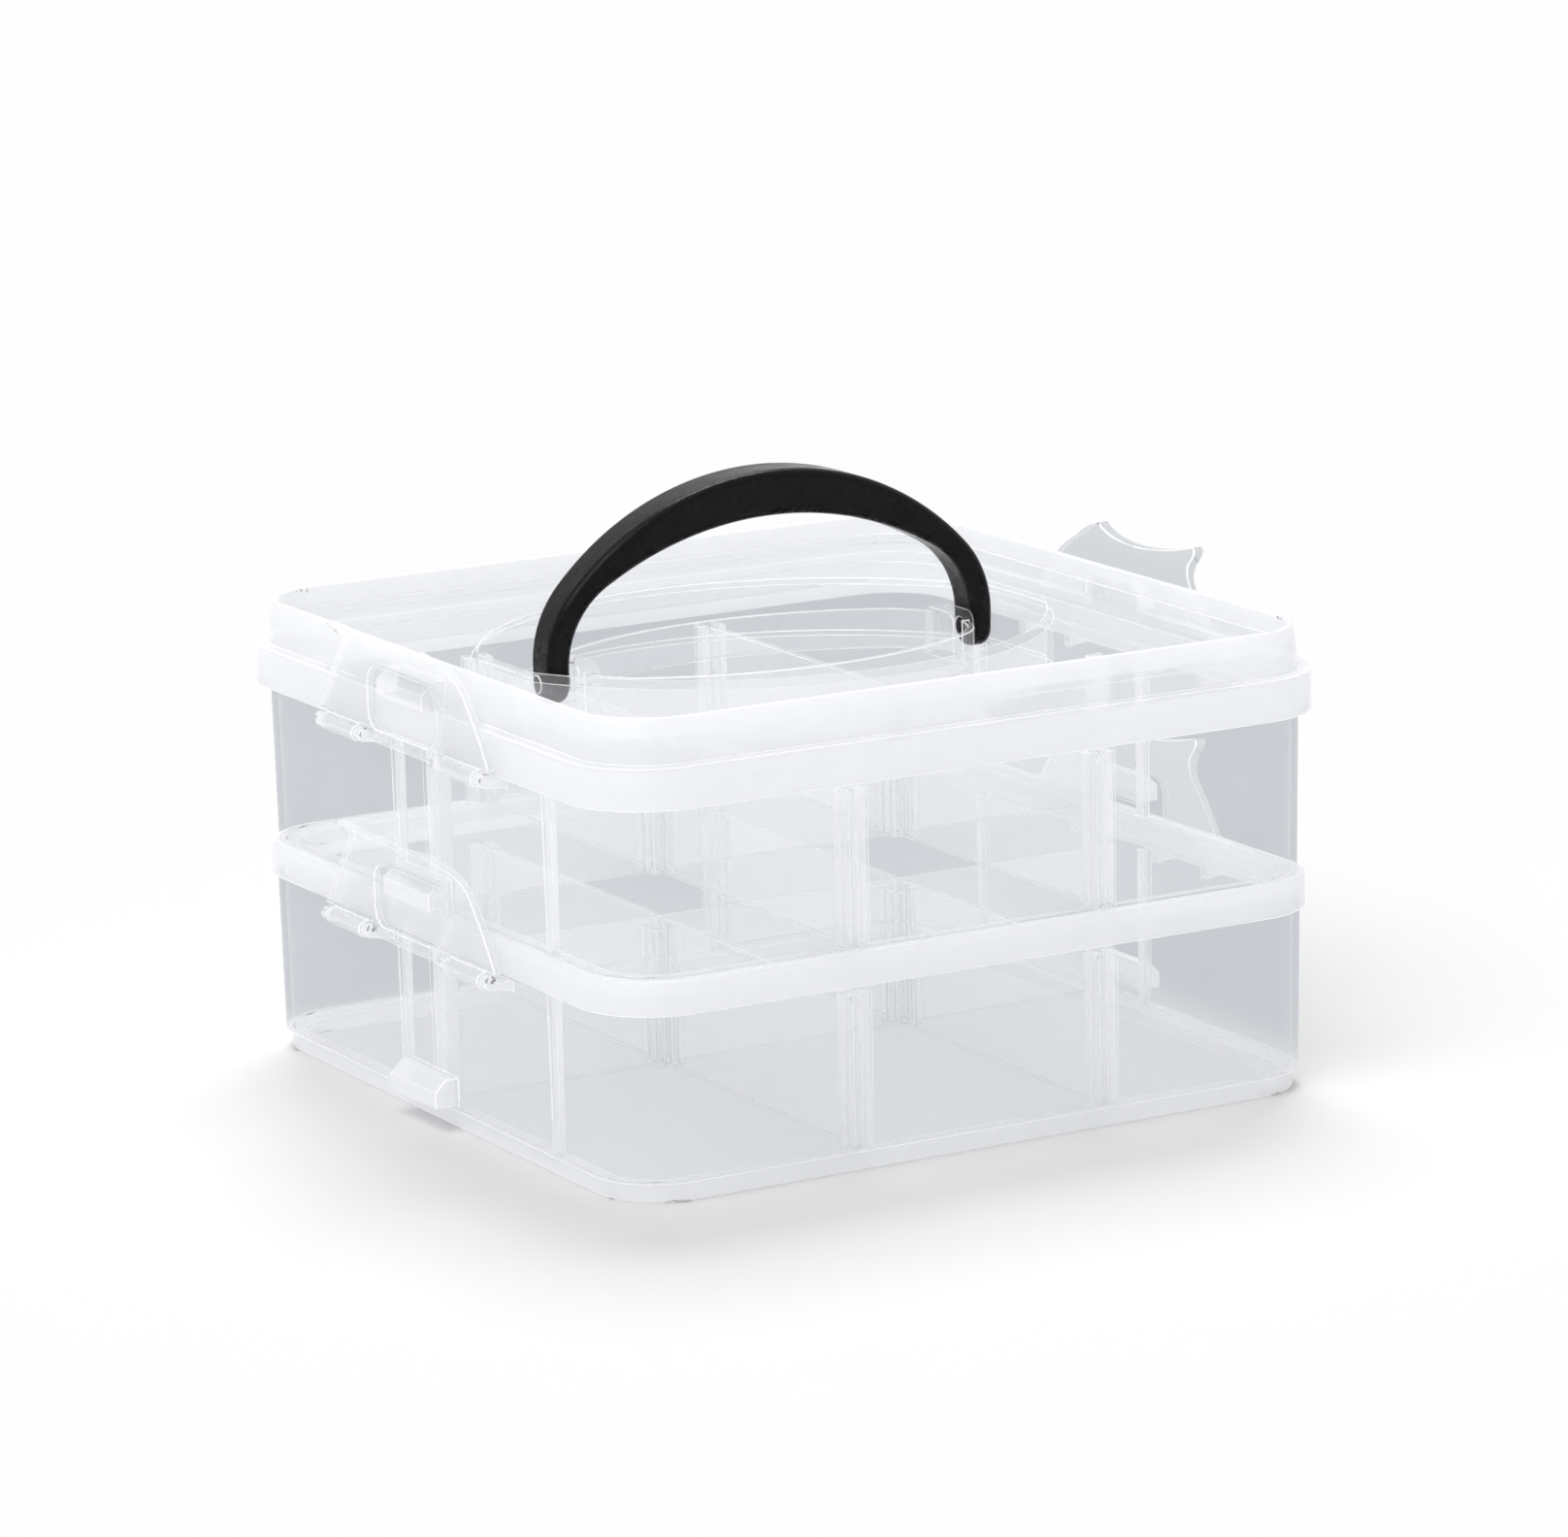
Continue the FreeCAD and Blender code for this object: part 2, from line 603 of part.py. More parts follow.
def build_latch(label):
    """A latch with its hinge line along Y through its own origin, its outer side towards +X."""
    body = new_body(label)
    plate = new_sketch(body, "plate", "XZ_Plane")
    bend = "latch_straight + {} * sin(flare_angle)"
    side = "flare_centre - {} * cos(flare_angle)"
    outline(plate, [
        ("latch_inner", "0 - sill_drop"),
        ("latch_outer", "0 - sill_drop"),
        ("latch_outer", "latch_straight", "flare_radius", -1),
        (side.format("flare_radius"), bend.format("flare_radius")),
        (side.format("flare_radius") + " + flare_out", bend.format("flare_radius") + " + flare_up"),
        (side.format("flare_outer") + " + flare_out", bend.format("flare_outer") + " + flare_up"),
        (side.format("flare_outer"), bend.format("flare_outer"), "flare_outer", 1),
        ("latch_inner", "latch_straight"),
    ])
    grow(body, plate, "2 * (latch_base_half + latch_gap)", symmetric=True)
    for number, spot in enumerate(("knuckle_start", "0 - knuckle_end"), start=1):
        knuckle = new_sketch(body, f"knuckle_{number}", "XZ_Plane", spot)
        circle(knuckle, "0", "0", "knuckle_radius")
        grow(body, knuckle, "knuckle_end - knuckle_start")

    trim = new_sketch(body, "trim", "YZ_Plane")
    margin = "(latch_base_half + knuckle_radius)"
    block(trim, f"0 - {margin}", margin, "0 - 2 * knuckle_radius", "2 * latch_height")
    outline(trim, [
        ("0 - latch_base_half", "0 - knuckle_radius - sill_drop"),
        ("latch_base_half", "0 - knuckle_radius - sill_drop"),
        ("latch_base_half", "0", "latch_side_radius", 1),
        ("latch_tip_half", "latch_tip_level", "latch_tip_radius", 1),
        ("latch_peak_half", "latch_height", "latch_dip_radius", -1),
        ("0 - latch_peak_half", "latch_height", "latch_tip_radius", 1),
        ("0 - latch_tip_half", "latch_tip_level", "latch_side_radius", 1),
        ("0 - latch_base_half", "0"),
    ])
    far, near = "(window_half - window_round)", "0 - (window_half - window_round)"
    low, high = "(window_sill + window_round)", "(window_top - window_round)"
    outline(trim, [
        (near, "window_sill"),
        (far, "window_sill", "window_round", 1),
        ("window_half", low),
        ("window_half", high, "window_round", 1),
        (far, "window_top"),
        (near, "window_top", "window_round", 1),
        ("0 - window_half", high),
        ("0 - window_half", low, "window_round", 1),
    ])
    cut(body, trim)
    notches = new_sketch(body, "notches", "YZ_Plane")
    for side in (-1, 1):
        for start, stop in (("lug_inner - knuckle_gap", "knuckle_start"),
                            ("knuckle_end", "latch_base_half + knuckle_radius")):
            block(notches, f"({start}) * {side}", f"({stop}) * {side}",
                  "0 - 2 * knuckle_radius", "notch_top")
    cut(body, notches)
    for number, spot in enumerate(("knuckle_start", "0 - knuckle_end"), start=1):
        bore = new_sketch(body, f"bore_{number}", "XZ_Plane", spot)
        circle(bore, "0", "0", "hinge_bore / 2")
        cut(body, bore, "knuckle_end - knuckle_start", upward=True)
    return body


def add_plate(body, plane, start, stop):
    """An upright divider plate with its two top corners rounded off."""
    sketch = new_sketch(body, "plate", plane)
    outline(sketch, [
        (start, "0"),
        (stop, "0"),
        (stop, "divider_height - divider_round", "divider_round", 1),
        (f"{stop} - divider_round", "divider_height"),
        (f"{start} + divider_round", "divider_height", "divider_round", 1),
        (start, "divider_height - divider_round"),
    ])
    grow(body, sketch, "divider_thickness", symmetric=True)


def build_long_divider(label):
    body = new_body(label)
    add_plate(body, "XZ_Plane", "0 - long_divider_half", "long_divider_half")
    ribs = new_sketch(body, "ribs")
    for across in ("0 - cross_half", "cross_half"):
        for side in (-1, 1):
            block(ribs, f"{across} + slot_half * {side}",
                  f"{across} + (slot_half + rib_thickness) * {side}",
                  "0 - divider_thickness / 2 - rib_depth", "divider_thickness / 2 + rib_depth")
    grow(body, ribs, "divider_height - divider_round")
    return body


def build_short_divider(label):
    body = new_body(label)
    add_plate(body, "YZ_Plane", "short_divider_start", "short_divider_end")
    return body


def place(body, x, y, z, half_turn=False):
    """Puts a body at three formulas, turned to face the other way about the upright axis."""
    if half_turn:
        upright = FreeCAD.Vector(0, 0, 1)
        body.Placement = FreeCAD.Placement(FreeCAD.Vector(), FreeCAD.Rotation(upright, 180))
    for axis, formula in zip("xyz", (x, y, z)):
        body.setExpression(f"Placement.Base.{axis}", bound(formula))
    nodes.append(body)


nodes = []
for tier, level in (("lower", "0"), ("upper", "tier_pitch")):
    place(build_tray(f"{tier}_tray"), "0", "0", level)
    hinge = f"{level} + hinge_level"
    place(build_latch(f"{tier}_latch_left"), "0 - hinge_x", "0", hinge, half_turn=True)
    place(build_latch(f"{tier}_latch_right"), "hinge_x", "0", hinge)
    floor = f"{level} + floor_level"
    place(build_long_divider(f"{tier}_long_divider"), "0", "0", floor)
    for side, across in (("left", "0 - cross_half"), ("right", "cross_half")):
        front = build_short_divider(f"{tier}_short_divider_front_{side}")
        place(front, across, "0", floor, half_turn=True)
        place(build_short_divider(f"{tier}_short_divider_back_{side}"), across, "0", floor)
place(build_lid("lid"), "0", "0", "lid_level")
place(build_handle("carry_handle"), "0", "well_shift", "lid_level + pivot_level")
doc.recompute()

faulty = [item.Label for item in doc.Objects if {"Invalid", "Error"} & set(item.State)]
for node in nodes:
    if node.Shape.isNull() or not node.Shape.isValid() or len(node.Shape.Solids) != 1:
        faulty.append(node.Label)
if faulty:
    raise RuntimeError(f"not built: {faulty}")
os.makedirs("parts", exist_ok=True)
for node in nodes:
    node.Shape.exportStep(f"parts/{node.Label}.step")
    print(node.Label, round(node.Shape.Volume), node.Shape.BoundBox)
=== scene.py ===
# %% [markdown]
# # A clear stackable storage box
# The box is two clear trays that nest, a lid with a folding black handle and four side latches.
# Its solids come ready made from CAD, so this lesson is about looks: soft moulded edges, milky
# clear plastic, a black handle and a white studio. The loaded solids are a fixed frame. They are
# never moved, and every new piece rides on one of their bodies.

# %% Load the fixed frame
import json
import math

import bpy
from mathutils import Matrix, Vector

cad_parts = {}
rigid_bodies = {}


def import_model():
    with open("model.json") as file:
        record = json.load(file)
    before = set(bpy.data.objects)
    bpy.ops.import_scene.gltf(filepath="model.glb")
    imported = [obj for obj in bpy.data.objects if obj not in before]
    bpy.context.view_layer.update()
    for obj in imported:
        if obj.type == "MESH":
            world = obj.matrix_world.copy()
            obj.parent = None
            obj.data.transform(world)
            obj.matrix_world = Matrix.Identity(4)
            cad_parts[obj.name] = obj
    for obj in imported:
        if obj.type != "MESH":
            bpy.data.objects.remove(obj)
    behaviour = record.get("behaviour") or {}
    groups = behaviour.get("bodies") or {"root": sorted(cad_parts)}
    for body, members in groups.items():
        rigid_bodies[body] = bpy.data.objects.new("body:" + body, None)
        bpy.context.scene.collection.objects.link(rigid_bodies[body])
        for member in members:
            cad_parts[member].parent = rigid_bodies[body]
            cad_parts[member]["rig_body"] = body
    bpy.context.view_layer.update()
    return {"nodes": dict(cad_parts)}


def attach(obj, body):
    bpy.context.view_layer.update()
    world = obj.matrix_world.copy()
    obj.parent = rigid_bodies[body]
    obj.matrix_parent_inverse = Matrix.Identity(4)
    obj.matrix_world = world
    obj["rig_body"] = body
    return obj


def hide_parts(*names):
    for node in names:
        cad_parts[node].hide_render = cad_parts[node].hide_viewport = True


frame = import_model()
MM = 0.001

# %% [markdown]
# ## Camera
# The photograph is taken from the front left, a little above the lid, through a long lens. The
# place and turn of the camera were worked out from straight edges of the box whose sizes are
# known. A camera can also be placed by eye, but then a small error in perspective shows along
# every edge, so here its three axes are written straight into its matrix.

# %% Place the camera
CAMERA_PLACE = (-0.61880, -1.09450, 0.33564)
CAMERA_RIGHT = (0.86729, -0.49727, -0.02289)
CAMERA_UP = (0.12743, 0.17734, 0.97586)
CAMERA_BACK = (-0.48121, -0.84928, 0.21718)
LENS_MM = 160.96
SENSOR_MM = 36.0

bpy.ops.object.camera_add()
camera = bpy.context.object
camera.name = "photo_camera"
turn = Matrix((CAMERA_RIGHT, CAMERA_UP, CAMERA_BACK)).transposed().to_4x4()
camera.matrix_world = Matrix.Translation(CAMERA_PLACE) @ turn
camera.data.sensor_fit = "HORIZONTAL"
camera.data.sensor_width = SENSOR_MM
camera.data.lens = LENS_MM
bpy.context.scene.camera = camera
print("camera at", tuple(round(v, 3) for v in camera.matrix_world.translation))

# %% [markdown]
# ## Node helpers
# Materials here are node trees. Two small helpers keep their code short: one adds a node and
# fills its sockets, the other adds a Math node. A socket can be given a number or the output of
# another node.

# %% Helpers for node trees


def add_node(tree, kind, label, sockets=None, **settings):
    """One node, with its settings, and each named socket filled by a value or linked."""
    item = tree.nodes.new(kind)
    item.label = label
    for name, setting in settings.items():
        setattr(item, name, setting)
    for name, value in (sockets or {}).items():
        if isinstance(value, bpy.types.NodeSocket):
            tree.links.new(value, item.inputs[name])
        else:
            item.inputs[name].default_value = value
    return item


def calculate(tree, operation, first, second=0.0, label="", clamp=False):
    """The output of one Math node."""
    sockets = {0: first, 1: second}
    item = add_node(tree, "ShaderNodeMath", label or operation.lower(), sockets,
                    operation=operation, use_clamp=clamp)
    return item.outputs[0]


def rising(tree, value, start, stop, label):
    """A smooth step: 0 below start, 1 above stop."""
    item = add_node(tree, "ShaderNodeMapRange", label,
                    {"Value": value, "From Min": start, "From Max": stop},
                    interpolation_type="SMOOTHSTEP")
    return item.outputs["Result"]


def new_material(name):
    """A material with an empty node tree and its output."""
    material = bpy.data.materials.new(name)
    material.use_nodes = True
    tree = material.node_tree
    tree.nodes.clear()
    return material, tree, add_node(tree, "ShaderNodeOutputMaterial", "output")


def new_group(name, inputs, outputs):
    """A node group with float sockets, its input values and its output node."""
    tree = bpy.data.node_groups.new(name, "ShaderNodeTree")
    for socket, value in inputs.items():
        made = tree.interface.new_socket(socket, in_out="INPUT", socket_type="NodeSocketFloat")
        made.default_value = value
    for socket in outputs:
        tree.interface.new_socket(socket, in_out="OUTPUT", socket_type="NodeSocketFloat")
    given = tree.nodes.new("NodeGroupInput")
    return tree, given, tree.nodes.new("NodeGroupOutput")


print("node helpers ready")

# %% [markdown]
# ## White studio
# The box stands on white, with a tight shadow along its foot and a broad soft one to its right.
# The floor is a large plane. A pale sky lights the box from all round, one wide sun from the left
# throws the broad shadow, and one from behind on the right darkens the floor along the front.
# The white around the box was made for the picture. Through the plastic the floor shows a painted
# glow instead of its lit colour: a grey emission with no shadow, paler under the box where its shadow
# would fall, and paler behind many layers, where it stands in for light scattered in the plastic.
# The Light Path node tells the floor how it is looked at: it glows grey only for a sight line that
# has come through plastic, so the light that falls on the box stays as it is.

# %% Floor, sky and suns
FLOOR_SIZE = 8.0
FLOOR_WHITE = (0.93, 0.93, 0.93, 1.0)
FLOOR_SEEN = (0.70, 0.70, 0.70, 1.0)
# Painted glow that the floor emits for sight lines through plastic: behind few layers, behind many,
# under the box.
GLOW_BEHIND_FEW_LAYERS = (0.53, 0.55, 0.585, 1.0)
GLOW_BEHIND_MANY_LAYERS = (0.92, 0.92, 0.94, 1.0)
GLOW_UNDER_BOX = (0.71, 0.72, 0.735, 1.0)
WHITE = (1.0, 1.0, 1.0, 1.0)
FLOOR_LIFT = 0.03
PAPER_ROUGHNESS = 0.9
ONE_LAYER = 0.5
FEW_COUNT = 4.0
MANY_COUNT = 13.0
UNDER_EDGE = 70 * MM
BEYOND_EDGE = 95 * MM
SKY_LIGHT = 0.46
# Each sun has a strength, a width in degrees and the direction in which its light travels.
SUNS = {
    "left_sun": (1.6, 40, (0.50, 0.26, -0.83)),
    "back_sun": (1.75, 30, (-0.25, -0.42, -0.87)),
}


def seen_ray(tree):
    """1 for rays from the camera, from a mirror or through glass, else 0."""
    path = add_node(tree, "ShaderNodeLightPath", "what looks at this")
    seen = path.outputs["Is Camera Ray"]
    for other in ("Is Glossy Ray", "Is Transmission Ray"):
        seen = calculate(tree, "MAXIMUM", seen, path.outputs[other], "seen")
    return seen, path


bpy.ops.mesh.primitive_plane_add(size=FLOOR_SIZE)
floor = bpy.context.object
floor.name = "studio_floor"
floor_material, tree, output = new_material("studio_white")
seen, path = seen_ray(tree)
behind = calculate(tree, "GREATER_THAN", path.outputs["Transparent Depth"], ONE_LAYER,
                   "plastic in front")
behind = calculate(tree, "MULTIPLY", behind, path.outputs["Is Camera Ray"], "seen through plastic")
colour = add_node(tree, "ShaderNodeMix", "lighting or seen", data_type="RGBA")
tree.links.new(path.outputs["Is Camera Ray"], colour.inputs["Factor"])
colour.inputs["A"].default_value = FLOOR_WHITE
colour.inputs["B"].default_value = FLOOR_SEEN
paper = add_node(tree, "ShaderNodeBsdfPrincipled", "paper",
                 {"Base Color": colour.outputs["Result"], "Roughness": PAPER_ROUGHNESS,
                  "Specular IOR Level": 0.0})
lift = add_node(tree, "ShaderNodeEmission", "lift to white",
                {"Color": WHITE,
                 "Strength": calculate(tree, "MULTIPLY", seen, FLOOR_LIFT)})
white = add_node(tree, "ShaderNodeAddShader", "paper and lift",
                 {0: paper.outputs[0], 1: lift.outputs[0]})
# Painted glow: through plastic the floor emits a grey without shadow, paler behind many layers and
# under the box.
layers = rising(tree, path.outputs["Transparent Depth"], FEW_COUNT, MANY_COUNT, "layers of plastic")
glow_colour = add_node(tree, "ShaderNodeMix", "few or many layers", data_type="RGBA")
tree.links.new(layers, glow_colour.inputs["Factor"])
spot = add_node(tree, "ShaderNodeTexCoord", "place on the floor").outputs["Object"]
spot = add_node(tree, "ShaderNodeSeparateXYZ", "split", {0: spot})
aside = calculate(tree, "MAXIMUM", *(calculate(tree, "ABSOLUTE", spot.outputs[axis]) for axis in "XY"))
under = add_node(tree, "ShaderNodeMix", "under the box or beyond", data_type="RGBA")
beyond = rising(tree, aside, UNDER_EDGE, BEYOND_EDGE, "beyond the box")
tree.links.new(beyond, under.inputs["Factor"])
under.inputs["A"].default_value = GLOW_UNDER_BOX
under.inputs["B"].default_value = GLOW_BEHIND_FEW_LAYERS
tree.links.new(under.outputs["Result"], glow_colour.inputs["A"])
glow_colour.inputs["B"].default_value = GLOW_BEHIND_MANY_LAYERS
grey = add_node(tree, "ShaderNodeEmission", "painted glow behind plastic", {"Color": glow_colour.outputs["Result"]})
both = add_node(tree, "ShaderNodeMixShader", "lit floor or painted glow",
                {"Fac": behind, 1: white.outputs[0], 2: grey.outputs[0]})
tree.links.new(both.outputs[0], output.inputs["Surface"])
floor.data.materials.append(floor_material)

world = bpy.data.worlds.new("studio_sky")
bpy.context.scene.world = world
world.use_nodes = True
tree = world.node_tree
tree.nodes.clear()
sky = add_node(tree, "ShaderNodeBackground", "light on the box", {"Strength": SKY_LIGHT})
backdrop = add_node(tree, "ShaderNodeBackground", "white backdrop", {"Strength": 1.0})
for background in (sky, backdrop):
    background.inputs["Color"].default_value = WHITE
seen, path = seen_ray(tree)
mixed = add_node(tree, "ShaderNodeMixShader", "backdrop where seen",
                 {"Fac": seen, 1: sky.outputs[0], 2: backdrop.outputs[0]})
sky_output = add_node(tree, "ShaderNodeOutputWorld", "output")
tree.links.new(mixed.outputs[0], sky_output.inputs["Surface"])

for name, (strength, width, direction) in SUNS.items():
    bpy.ops.object.light_add(type="SUN")
    sun = bpy.context.object
    sun.name = name
    sun.rotation_euler = Vector(direction).to_track_quat("-Z", "Y").to_euler()
    sun.data.energy = strength
    sun.data.angle = math.radians(width)

scene = bpy.context.scene
scene.view_settings.view_transform = "Standard"
scene.cycles.transparent_max_bounces = 64
scene.cycles.max_bounces = 16
scene.cycles.diffuse_bounces = 8
print("studio:", floor.name, world.name, sorted(SUNS))

# %% [markdown]
# ## The milky zones of a moulding
# Clear boxes of this kind are moulded in a plastic that is a little milky. Where a wall is thin
# it looks bluish and see-through, and where the moulding is thick, at the flange, the foot and
# the ribs, it looks white. A group of nodes works out those zones from the height of a point and
# its distance from the middle, so one group serves both trays.

# %% Zones of a tray
CORE_HALF = 59.0 * MM
WALL_INSIDE = 70.9 * MM
WALL_OUTSIDE = 72.8 * MM
FOOT_INSIDE = 68.6 * MM
FLOOR_TOP = 3.8 * MM
FLANGE_FOOT = 33.8 * MM
BLUR = 0.3 * MM


def point_from_middle(tree):
    """The height of a point, and how far out it lies, measured across the rounded outline."""
    place = add_node(tree, "ShaderNodeTexCoord", "place on the object")
    parts = add_node(tree, "ShaderNodeSeparateXYZ", "split", {0: place.outputs["Object"]})
    squares = []
    for axis in ("X", "Y"):
        out = calculate(tree, "SUBTRACT", calculate(tree, "ABSOLUTE", parts.outputs[axis]), CORE_HALF)
        out = calculate(tree, "MAXIMUM", out, 0.0, "past the core")
        squares.append(calculate(tree, "MULTIPLY", out, out))
    reach = calculate(tree, "SQRT", calculate(tree, "ADD", *squares))
    return parts.outputs["Z"], calculate(tree, "ADD", reach, CORE_HALF, "reach")


tray_zones, given, result = new_group("tray_zones", {"Tier height": 0.0}, ["Milk"])
height, reach = point_from_middle(tray_zones)
height = calculate(tray_zones, "SUBTRACT", height, given.outputs["Tier height"])
flange = rising(tray_zones, height, FLANGE_FOOT - BLUR, FLANGE_FOOT, "flange")
above_floor = rising(tray_zones, height, FLOOR_TOP, FLOOR_TOP + BLUR, "above the floor")
inward = calculate(tray_zones, "SUBTRACT", 1.0,
                   rising(tray_zones, reach, WALL_INSIDE - BLUR, WALL_INSIDE, "wall"))
rib = calculate(tray_zones, "MULTIPLY", above_floor, inward, "ribs and bars")
below = calculate(tray_zones, "SUBTRACT", 1.0, above_floor)
foot = calculate(tray_zones, "MULTIPLY", below,
                 rising(tray_zones, reach, FOOT_INSIDE - BLUR, FOOT_INSIDE, "foot"))
nub = rising(tray_zones, reach, WALL_OUTSIDE, WALL_OUTSIDE + BLUR, "nubs")
milk = calculate(tray_zones, "MAXIMUM", flange, rib)
milk = calculate(tray_zones, "MAXIMUM", milk, foot)
milk = calculate(tray_zones, "MAXIMUM", milk, nub)
tray_zones.links.new(milk, result.inputs["Milk"])
print("group:", tray_zones.name)

# %% [markdown]
# ## Ripples and haze
# Moulded walls are never quite flat: the surface rolls gently as the plastic shrinks, and fine
# handling marks make the gloss uneven. One group gives both as numbers: a height for a Bump node
# and a haze that every clear material adds to its roughness and its milkiness.

# %% Ripples and haze
ROLL_SCALE = 45.0
HAZE_SCALE = 160.0
HAZE_START = 0.35
HAZE_FULL = 0.75

ripples, given, result = new_group(
    "moulding_ripples", {"Roll scale": ROLL_SCALE, "Haze scale": HAZE_SCALE}, ["Height", "Haze"])
place = add_node(ripples, "ShaderNodeTexCoord", "place on the object").outputs["Object"]
roll = add_node(ripples, "ShaderNodeTexNoise", "shrinkage roll",
                {"Vector": place, "Scale": given.outputs["Roll scale"], "Detail": 1.0})
marks = add_node(ripples, "ShaderNodeTexNoise", "handling haze",
                 {"Vector": place, "Scale": given.outputs["Haze scale"], "Detail": 5.0,
                  "Roughness": 0.65})
ripples.links.new(roll.outputs["Fac"], result.inputs["Height"])
haze = rising(ripples, marks.outputs["Fac"], HAZE_START, HAZE_FULL, "haze")
ripples.links.new(haze, result.inputs["Haze"])
print("group:", ripples.name)

# %% [markdown]
# ## Clear plastic
# A glass shader would bend what is behind each wall and needs many samples through twelve or more
# layers. A thin wall hardly bends light, so a Mix Shader lays a milky Principled surface over a
# Transparent one instead. The share of milk grows where the surface is seen edge on, since the
# sight line then runs longer through the plastic; the Layer Weight node gives that. Half of the
# milk is Translucent, so light from behind shows too. The straight light of a lamp is spread by the
# milk more than a sight line is, so the box throws a soft shadow although it looks clear.

# %% Clear plastic
CLEAR_TINT = (0.991, 0.992, 0.994, 1.0)
MILK_COLOUR = (0.958, 0.962, 0.972, 1.0)
WALL_MILK = 0.035
LID_MILK = 0.02
LATCH_MILK = 0.15
DIVIDER_MILK = 0.08
THICK_MILK = 0.55
EDGE_ON_MILK = 0.15
EDGE_ON_POWER = 3.0
HAZE_MILK = 0.02
WALL_ROUGHNESS = 0.18
HAZE_ROUGHNESS = 0.10
ROLL_STRENGTH = 0.04
PLASTIC_IOR = 1.49
LET_THROUGH = 0.5
LAMP_SPREAD = 4.5


def clear_plastic(name, zone=None, wall=WALL_MILK, thick=THICK_MILK):
    """A milky clear material. zone is a function that gives the tree's mask of thick places."""
    material, tree, output = new_material(name)
    skin = add_node(tree, "ShaderNodeGroup", "ripples and haze", node_tree=ripples)
    haze = skin.outputs["Haze"]
    base = calculate(tree, "MULTIPLY", haze, HAZE_MILK, "haze milk")
    base = calculate(tree, "ADD", base, wall, "milk of the wall")
    if zone:
        more = calculate(tree, "MULTIPLY", zone(tree), thick - wall, "thick places")
        base = calculate(tree, "ADD", base, more)
    facing = add_node(tree, "ShaderNodeLayerWeight", "edge on", {"Blend": 0.5}).outputs["Facing"]
    edge_on = calculate(tree, "POWER", facing, EDGE_ON_POWER)
    longer = calculate(tree, "MULTIPLY", edge_on, EDGE_ON_MILK, "longer way through")
    share = calculate(tree, "ADD", base, longer, "share of milk")
    lamp = add_node(tree, "ShaderNodeLightPath", "sight or lamp light").outputs["Is Shadow Ray"]
    spread = calculate(tree, "ADD", calculate(tree, "MULTIPLY", lamp, LAMP_SPREAD), 1.0)
    share = calculate(tree, "MULTIPLY", share, spread, "lamp light spreads", clamp=True)
    rough = calculate(tree, "MULTIPLY", haze, HAZE_ROUGHNESS)
    bump = add_node(tree, "ShaderNodeBump", "rolling surface",
                    {"Strength": ROLL_STRENGTH, "Distance": MM, "Height": skin.outputs["Height"]})
    body = add_node(tree, "ShaderNodeBsdfPrincipled", "milky plastic",
                    {"Base Color": MILK_COLOUR, "IOR": PLASTIC_IOR,
                     "Roughness": calculate(tree, "ADD", rough, WALL_ROUGHNESS),
                     "Normal": bump.outputs["Normal"]})
    glow = add_node(tree, "ShaderNodeBsdfTranslucent", "light let through", {"Color": MILK_COLOUR})
    milk = add_node(tree, "ShaderNodeMixShader", "milk lit from both sides",
                    {"Fac": LET_THROUGH, 1: body.outputs[0], 2: glow.outputs[0]})
    through = add_node(tree, "ShaderNodeBsdfTransparent", "clear plastic", {"Color": CLEAR_TINT})
    mix = add_node(tree, "ShaderNodeMixShader", "milk over clear",
                   {"Fac": share, 1: through.outputs[0], 2: milk.outputs[0]})
    tree.links.new(mix.outputs[0], output.inputs["Surface"])
    return material


def tray_zone(tier_height):
    def mask(tree):
        item = add_node(tree, "ShaderNodeGroup", "tray zones", node_tree=tray_zones)
        item.inputs["Tier height"].default_value = tier_height
        return item.outputs["Milk"]
    return mask


TIER_PITCH = 36.4 * MM
PLATE_TOP = 81.9 * MM
RIM_INSIDE = 70.4 * MM


def lid_zone(tree):
    """The rim and the skirt of the lid are thick, its plate and well are thin."""
    height, reach = point_from_middle(tree)
    rim = rising(tree, height, PLATE_TOP, PLATE_TOP + BLUR, "rim")
    outer = rising(tree, reach, RIM_INSIDE - BLUR, RIM_INSIDE, "skirt")
    return calculate(tree, "MAXIMUM", rim, outer)


clear = {
    "lower_tray": clear_plastic("lower_tray_plastic", tray_zone(0.0)),
    "upper_tray": clear_plastic("upper_tray_plastic", tray_zone(TIER_PITCH)),
    "lid": clear_plastic("lid_plastic", lid_zone, wall=LID_MILK),
    "latch": clear_plastic("latch_plastic", wall=LATCH_MILK),
    "divider": clear_plastic("divider_plastic", wall=DIVIDER_MILK),
}
print("clear plastics:", sorted(clear))

# %% [markdown]
# ## Bright edges
# Light that travels inside clear plastic leaves it at the edges, so every edge of the box shows
# as a white line. A Bevel modifier makes a narrow strip along each sharp edge, as the mould does,
# and can give that strip a material of its own. The strip gets a whiter, denser plastic.

# %% Bright edge plastic
EDGE_COLOUR = (0.985, 0.99, 0.995, 1.0)
EDGE_SHARE = 0.85
EDGE_UNEVEN = 0.2

edge_plastic, tree, output = new_material("bright_edge_plastic")
skin = add_node(tree, "ShaderNodeGroup", "ripples and haze", node_tree=ripples)
uneven = calculate(tree, "MULTIPLY", skin.outputs["Haze"], EDGE_UNEVEN)
bright = add_node(tree, "ShaderNodeBsdfPrincipled", "bright edge",
                  {"Base Color": EDGE_COLOUR, "IOR": PLASTIC_IOR,
                   "Roughness": calculate(tree, "ADD", uneven, WALL_ROUGHNESS)})
through = add_node(tree, "ShaderNodeBsdfTransparent", "clear plastic", {"Color": CLEAR_TINT})
share = calculate(tree, "SUBTRACT", EDGE_SHARE, uneven, "share of white")
mix = add_node(tree, "ShaderNodeMixShader", "white over clear",
               {"Fac": share, 1: through.outputs[0], 2: bright.outputs[0]})
tree.links.new(mix.outputs[0], output.inputs["Surface"])
